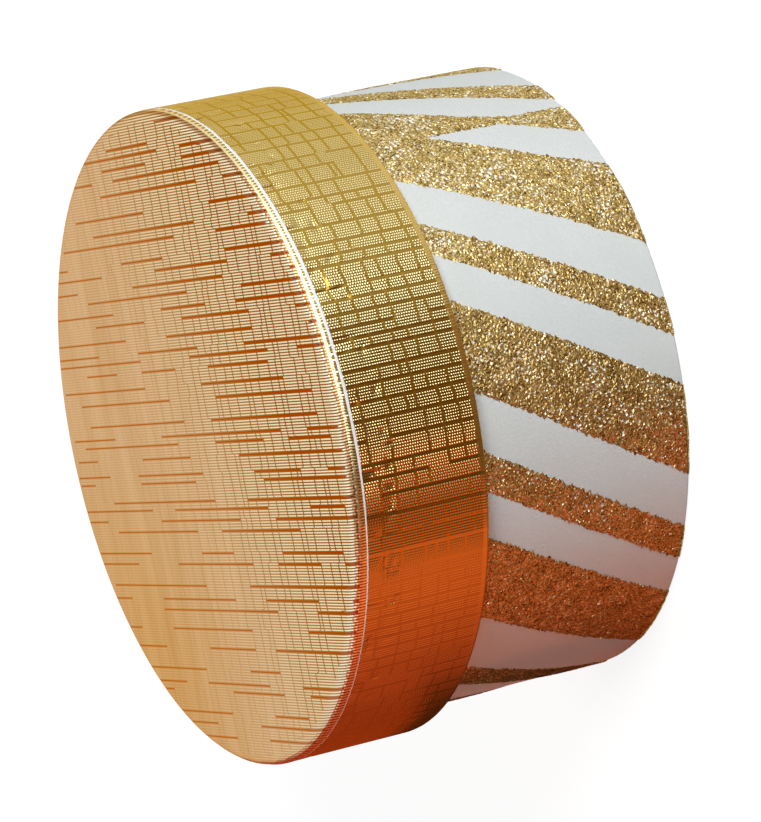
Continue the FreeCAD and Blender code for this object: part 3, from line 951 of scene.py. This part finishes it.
def glitter_material(name):
    """Flakes from brown to cream, each its own tone, with the paper bare between some of them.

    The darkest flakes are painted shade between the grains, the palest partly painted sparkle.
    """
    n = Nodes(name)
    flake = n.attribute("flake")
    bare = n.step(n.attribute("bare"), 0.3, 0.7)
    drift = n.span(n.noise(600.0, 2.0), -0.3, 0.3)
    # Darkest stop: painted shade between grains; palest stop: partly painted sparkle
    colour = n.ramp(
        n.math("ADD", flake, drift),
        [
            (0.0, (0.1, 0.058, 0.015)),
            (0.25, (0.34, 0.225, 0.065)),
            (0.6, (0.54, 0.395, 0.14)),
            (0.9, (0.68, 0.54, 0.23)),
            (1.05, (0.95, 0.9, 0.7)),
        ],
    )["Color"]
    paper_colour = (0.84, 0.87, 0.86)
    n.set("Base Color", n.mix(bare, colour, paper_colour))
    n.set("Metallic", n.span(bare, 0.9, 0.0))
    n.set("Specular Tint", (0.85, 0.7, 0.42))
    n.set("Roughness", n.span(flake, 0.52, 0.34))
    n.bump(n.noise(9000.0, 1.0), 0.00002)
    return n.owner


gold_top = foil(
    "gold_top_foil",
    # Pale crowns, partly painted highlight; dark red grooves and lines, partly painted reflection
    # of an orange ground; the faint tones are warmer in the painted warm reflection
    tones=((1.0, 1.0, 0.75), (1.0, 1.0, 0.75), (0.27, 0.083, 0.003), (0.4, 0.036, 0.005)),
    faint_tones=(
        ((0.53, 0.33, 0.178), (0.735, 0.53, 0.35)),
        ((0.5, 0.265, 0.105), (0.71, 0.45, 0.225)),
        (0.48, 0.14, 0.04),
    ),
    edge_tint=(0.9, 0.6, 0.3),
    band=(0.36, 0.6),
    pillow=0.42,
    dots=0.12,
    tilt=0.2,
    rough=(0.2, 0.32),
    roll=((0.95, 0.82, 0.46), (0.36, 0.23, 0.04), (1.0, 0.92, 0.52)),
)
gold_rim = foil(
    "gold_rim_foil",
    # Pale crowns, partly painted highlight; dark grooves and lines, partly painted reflection; the
    # second crown colour is the crown in the painted warm reflection
    tones=((1.0, 0.94, 0.52), (0.9, 0.66, 0.27), (0.26, 0.15, 0.022), (0.5, 0.32, 0.05)),
    faint_tones=(
        ((0.66, 0.46, 0.125), (0.84, 0.6, 0.19)),
        ((0.51, 0.375, 0.125), (0.65, 0.49, 0.18)),
        (0.5, 0.32, 0.055),
    ),
    edge_tint=(0.85, 0.65, 0.3),
    band=(0.24, 0.56),
    pillow=0.32,
    dots=0.85,
    tilt=0.42,
    rough=(0.14, 0.24),
)
white_core = paper("white_core", (0.94, 0.94, 0.94), (0.86, 0.86, 0.86))
white_wrap = paper("white_wrap_paper", (0.87, 0.91, 0.9), (0.66, 0.7, 0.69), 0.00033, 0.00006, 0.7)
white_liner = paper("white_lining_paper", (0.86, 0.85, 0.81), (0.77, 0.75, 0.71), 0.0003)
grey_board = board("grey_board")
gold_glitter = glitter_material("gold_glitter_flakes")

lid_disc([gold_top, white_core])
lid_rim([gold_rim, white_core])
bands = []
ends = (GLITTER_FOOT, GLITTER_TOP)
for lead, trail, lean in STRAIGHT_STRIPES:
    bands.append([((lead, lead), (trail, trail), ends, lean)])
levels = [GLITTER_FOOT + share * (GLITTER_TOP - GLITTER_FOOT) for share in FORK_SHARES]
for turn in FORK_TURNS:
    fork = []
    for lead, trail in (FORK_WIDE, FORK_THIN):
        fork.append(([a + turn for a in lead], [a + turn for a in trail], levels, LEAN))
    bands.append(fork)
for number, parts in enumerate(bands, 1):
    node = f"glitter_stripe_{number:02d}"
    glitter(f"glitter_flakes_{number:02d}", node, parts, GLITTER_SEED + number, [gold_glitter])

CAD_FINISH = (
    (grey_board, ("base_wall_board", "base_floor_board", "lid_rim_board", "lid_top_board")),
    (white_wrap, ("base_side_wrap", "base_bottom_paper")),
    (white_liner, ("base_wall_liner", "base_floor_liner", "lid_rim_liner", "lid_top_liner")),
)
for material, nodes in CAD_FINISH:
    for node in nodes:
        mesh = frame["nodes"][node].data
        mesh.materials.clear()
        mesh.materials.append(material)


# Stage, light and camera


def level_square(half, z):
    return [(-half, -half, z), (half, -half, z), (half, half, z), (-half, half, z)]


def standing(x, near, far, foot, top):
    """Corners of an upright rectangle across X."""
    return [(x, near, foot), (x, far, foot), (x, far, top), (x, near, top)]


def stage_plane(name, corners, material):
    mesh = bpy.data.meshes.new(name)
    points = [tuple(c * MM for c in corner) for corner in corners]
    mesh.from_pydata(points, [], [tuple(range(len(points)))])
    mesh.materials.append(material)
    plane = bpy.data.objects.new(name, mesh)
    bpy.context.scene.collection.objects.link(plane)
    plane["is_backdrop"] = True
    return plane


def floor_material():
    """Pale floor that reads as white where nothing shades it."""
    n = Nodes("studio_floor")
    n.set("Base Color", (0.34, 0.34, 0.34))
    n.set("Roughness", 0.9)
    n.set("Specular IOR Level", 0.0)
    rays = n.add("ShaderNodeLightPath").outputs
    seen = n.math("MAXIMUM", rays["Is Camera Ray"], rays["Is Transmission Ray"])
    bright = n.times(seen, 0.87)
    mirrored = n.times(rays["Is Glossy Ray"], 0.64)
    n.set("Emission Color", (1.0, 1.0, 1.0))
    n.set("Emission Strength", n.math("MAXIMUM", bright, mirrored))
    return n.owner


# The floor lies a hair below the box's foot, so that the two faces don't coincide
FLOOR_HALF, FLOOR_Z = 3000.0, -0.02
stage_plane("floor", level_square(FLOOR_HALF, FLOOR_Z), floor_material())


def card_material(name, runs, solid_to, gone_at, dim):
    """A card for reflections only: its colour and how solid it is go by the compass round the box.

    A run is a colour with its places, in degrees, and how solid it is at each. The card is solid
    out to one radius, gone at the next, and dimmed by a share up to a radius, after which it
    brightens to its own colour at another.
    """
    n = Nodes(name)
    n.tree.nodes.remove(n.shader)
    x, y, _ = n.xyz(n.place())
    compass = n.math("ADD", n.math("DIVIDE", n.math("ARCTAN2", y, x), 2 * math.pi), 0.5)
    stops = [(deg / 360.0 + 0.5, (*tone, solid)) for tone, run in runs for deg, solid in run]
    ramp = n.ramp(compass, stops)
    reach = n.math("SQRT", n.math("ADD", n.times(x, x), n.times(y, y)))
    solid = n.times(ramp["Alpha"], n.step(reach, gone_at * MM, solid_to * MM))
    share, dim_to, full_at = dim
    strength = n.step(reach, dim_to * MM, full_at * MM, share)
    glow = n.add("ShaderNodeEmission", {"Color": ramp["Color"], "Strength": strength})
    clear = n.add("ShaderNodeBsdfTransparent")
    mix = n.add("ShaderNodeMixShader", {0: solid, 1: clear.outputs[0], 2: glow.outputs[0]})
    n.value(n.tree.nodes["Material Output"].inputs["Surface"], mix.outputs[0])
    return n.owner


def hide_from(item, *rays):
    for ray in rays:
        setattr(item, f"visible_{ray}", False)


def reflected_card(name, corners, material):
    """A card that only shows in reflections."""
    card = stage_plane(name, corners, material)
    hide_from(card, "camera", "diffuse", "transmission", "volume_scatter", "shadow")


# Colours of the ground and of what stood round the photographed box, as its foil mirrors them
BROWN = (0.28, 0.145, 0.056)
BROWN_DARK = (0.19, 0.1, 0.042)
FLAG = (0.13, 0.08, 0.045)
FLAG_WARM = (0.9, 0.25, 0.09)
EMBER_BRIGHT = (1.15, 0.25, 0.075)
EMBER = (0.96, 0.2, 0.06)
EMBER_DEEP = (0.73, 0.12, 0.055)
EMBER_DARK = (0.5, 0.08, 0.045)
CONTACT = (0.1, 0.03, 0.02)
UNDIMMED = (1.0, 0, 1)
brown_card = card_material(
    "brown_card",
    [
        (BROWN_DARK, ((-180, 0.0), (-140, 1.0), (-112, 1.0))),
        (BROWN, ((-80, 0.95), (-65, 0.85), (-55, 0.3), (-40, 0.15), (-20, 0.0), (180, 0.0))),
    ],
    solid_to=260,
    gone_at=420,
    dim=UNDIMMED,
)
ember_card = card_material(
    "ember_card",
    [
        (EMBER_DARK, ((-180, 1.0),)),
        (EMBER_DEEP, ((-160, 1.0),)),
        (EMBER, ((-145, 1.0),)),
        (EMBER_BRIGHT, ((-134, 1.0), (-95, 1.0))),
        (EMBER_DARK, ((95, 0.0), (120, 1.0), (180, 1.0))),
    ],
    solid_to=300,
    gone_at=430,
    dim=(0.45, 60, 100),
)
BROWN_Z, BROWN_FAR = 0.4, 430.0
EMBER_Z = 0.6
reflected_card("floor_card", level_square(BROWN_FAR, BROWN_Z), brown_card)
EMBER_OUTLINE = [
    (-6.6, -37.6),
    (-397.0, -474.0),
    (-430.0, -474.0),
    (-430.0, 430.0),
    (0.0, 430.0),
    (0.0, 39.0),
    (-27.6, 27.6),
    (-39.0, 0.0),
    (-27.6, -27.6),
]
corners = [(x, y, EMBER_Z) for x, y in EMBER_OUTLINE[::-1]]
reflected_card("ember_floor_card", corners, ember_card)
# The side card is tall only where it nears the camera, and the flag card stands on from there
SIDE_X, SIDE_NEAR, SIDE_STEP, SIDE_FAR = -140.0, -130.0, -42.0, 220.0
SIDE_TOP, SIDE_NEAR_TOP = 75.0, 220.0
FLAG_X, FLAG_Y, FLAG_TOP = -8.0, -300.0, 230.0
flag_card = card_material(
    "flag_card",
    [(FLAG_WARM, ((-138, 1.0),)), (FLAG, ((-118, 1.0), (180, 1.0)))],
    solid_to=900,
    gone_at=1000,
    dim=UNDIMMED,
)
reflected_card(
    "flag_card",
    [
        (SIDE_X, SIDE_NEAR, EMBER_Z),
        (SIDE_X, SIDE_NEAR, FLAG_TOP),
        (FLAG_X, FLAG_Y, FLAG_TOP),
        (FLAG_X, FLAG_Y, EMBER_Z),
    ],
    flag_card,
)
reflected_card(
    "side_card",
    [
        (SIDE_X, SIDE_NEAR, EMBER_Z),
        (SIDE_X, SIDE_FAR, EMBER_Z),
        (SIDE_X, SIDE_FAR, SIDE_TOP),
        (SIDE_X, SIDE_STEP, SIDE_TOP),
        (SIDE_X, SIDE_STEP, SIDE_NEAR_TOP),
        (SIDE_X, SIDE_NEAR, SIDE_NEAR_TOP),
    ],
    ember_card,
)
contact_card = card_material(
    "contact_card",
    [(CONTACT, ((-180, 1.0), (-164, 1.0), (-150, 0.0), (125, 0.0), (140, 1.0), (180, 1.0)))],
    solid_to=200,
    gone_at=300,
    dim=UNDIMMED,
)
CONTACT_X, CONTACT_NEAR, CONTACT_FAR, CONTACT_TOP = -45.0, -26.0, 60.0, 27.0
corners = standing(CONTACT_X, CONTACT_NEAR, CONTACT_FAR, EMBER_Z, CONTACT_TOP)
reflected_card("contact_card", corners, contact_card)
# A flag against the side that the photographed box lay on: it only shades, see the lamps
SHADE_X, SHADE_NEAR, SHADE_FAR, SHADE_TOP = -41.0, -20.0, 40.0, 46.0
corners = standing(SHADE_X, SHADE_NEAR, SHADE_FAR, 0.0, SHADE_TOP)
lying_side = stage_plane("shade_flag", corners, floor_material())
hide_from(lying_side, "camera", "diffuse", "glossy", "transmission")

# World: white where it is seen or mirrored, and faint as a light
FAINT_LIGHT = 0.05
n = Nodes("studio", "worlds", "Background")
rays = n.add("ShaderNodeLightPath").outputs
seen = n.math("MAXIMUM", rays["Is Camera Ray"], rays["Is Glossy Ray"])
seen = n.math("MAXIMUM", seen, rays["Is Transmission Ray"])
n.set("Color", (1.0, 1.0, 1.0))
n.set("Strength", n.span(seen, FAINT_LIGHT, 1.0))
bpy.context.scene.world = n.owner

BOX_MIDDLE = Vector((0.0, 0.0, 22.0))


def softbox(name, place, size, power, colour=(1.0, 1.0, 1.0), mirrored=False, shading=True):
    """A lamp aimed at the box's middle, seen in mirrors or shading what is matt, or both."""
    lamp = bpy.data.lights.new(name, "AREA")
    lamp.shape = "RECTANGLE"
    lamp.size, lamp.size_y = size[0] * MM, size[1] * MM
    lamp.energy = power
    lamp.color = colour
    item = bpy.data.objects.new(name, lamp)
    bpy.context.scene.collection.objects.link(item)
    item.location = Vector(place) * MM
    item.rotation_euler = (BOX_MIDDLE - Vector(place)).to_track_quat("-Z", "Y").to_euler()
    item.visible_glossy = mirrored
    item.visible_diffuse = shading
    return item


softbox("key_light", (455, -510, 330), (1000, 1000), 8.4, mirrored=True, shading=False)
front = softbox("front_light", (485, -580, 340), (420, 420), 5.9)
back = softbox("back_light", (150, 700, 420), (600, 400), 3.0)
warm_light = softbox("warm_bounce", (-330, 40, 50), (300, 200), 0.85, (1.0, 0.2, 0.06))
lit = bpy.data.collections.new("lit_by_warm_bounce")
for item in bpy.context.scene.objects:
    if item.type == "MESH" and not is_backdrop(item):
        lit.objects.link(item)
warm_light.light_linking.receiver_collection = lit
# The flag doesn't shade the box from the front and back lamps
unshaded = bpy.data.collections.new("does_not_shade")
unshaded.objects.link(lying_side)
unshaded.collection_objects[0].light_linking.link_state = "EXCLUDE"
for lamp in (front, back):
    lamp.light_linking.blocker_collection = unshaded

# Camera of the photograph, fitted to the outlines of the lid and the base
FIT_PLACE = Vector((34.04, -519.62, 274.77))
FIT_RIGHT = Vector((-0.1862, -0.4547, -0.8710))
FIT_DOWN = Vector((-0.9799, 0.0213, 0.1984))
FIT_AHEAD = Vector((-0.0716, 0.8904, -0.4495))
FIT_FOCAL = 4750.07
FIT_CENTRE = (453.74, 448.17)
PICTURE = (761, 822)
SENSOR = 36.0

off_x = PICTURE[0] / 2 - FIT_CENTRE[0]
off_y = PICTURE[1] / 2 - FIT_CENTRE[1]
ahead = (FIT_AHEAD * FIT_FOCAL + FIT_RIGHT * off_x + FIT_DOWN * off_y).normalized()
up = (-FIT_DOWN - ahead * ahead.dot(-FIT_DOWN)).normalized()
right = ahead.cross(up)
lens = bpy.data.cameras.new("photo_camera")
lens.sensor_width = SENSOR
lens.lens = FIT_FOCAL * SENSOR / max(PICTURE)
camera = bpy.data.objects.new("photo_camera", lens)
bpy.context.scene.collection.objects.link(camera)
turn = Matrix((right, up, -ahead)).transposed().to_4x4()
camera.matrix_world = Matrix.Translation(FIT_PLACE * MM) @ turn
bpy.context.scene.camera = camera
bpy.context.scene.view_settings.view_transform = "Standard"
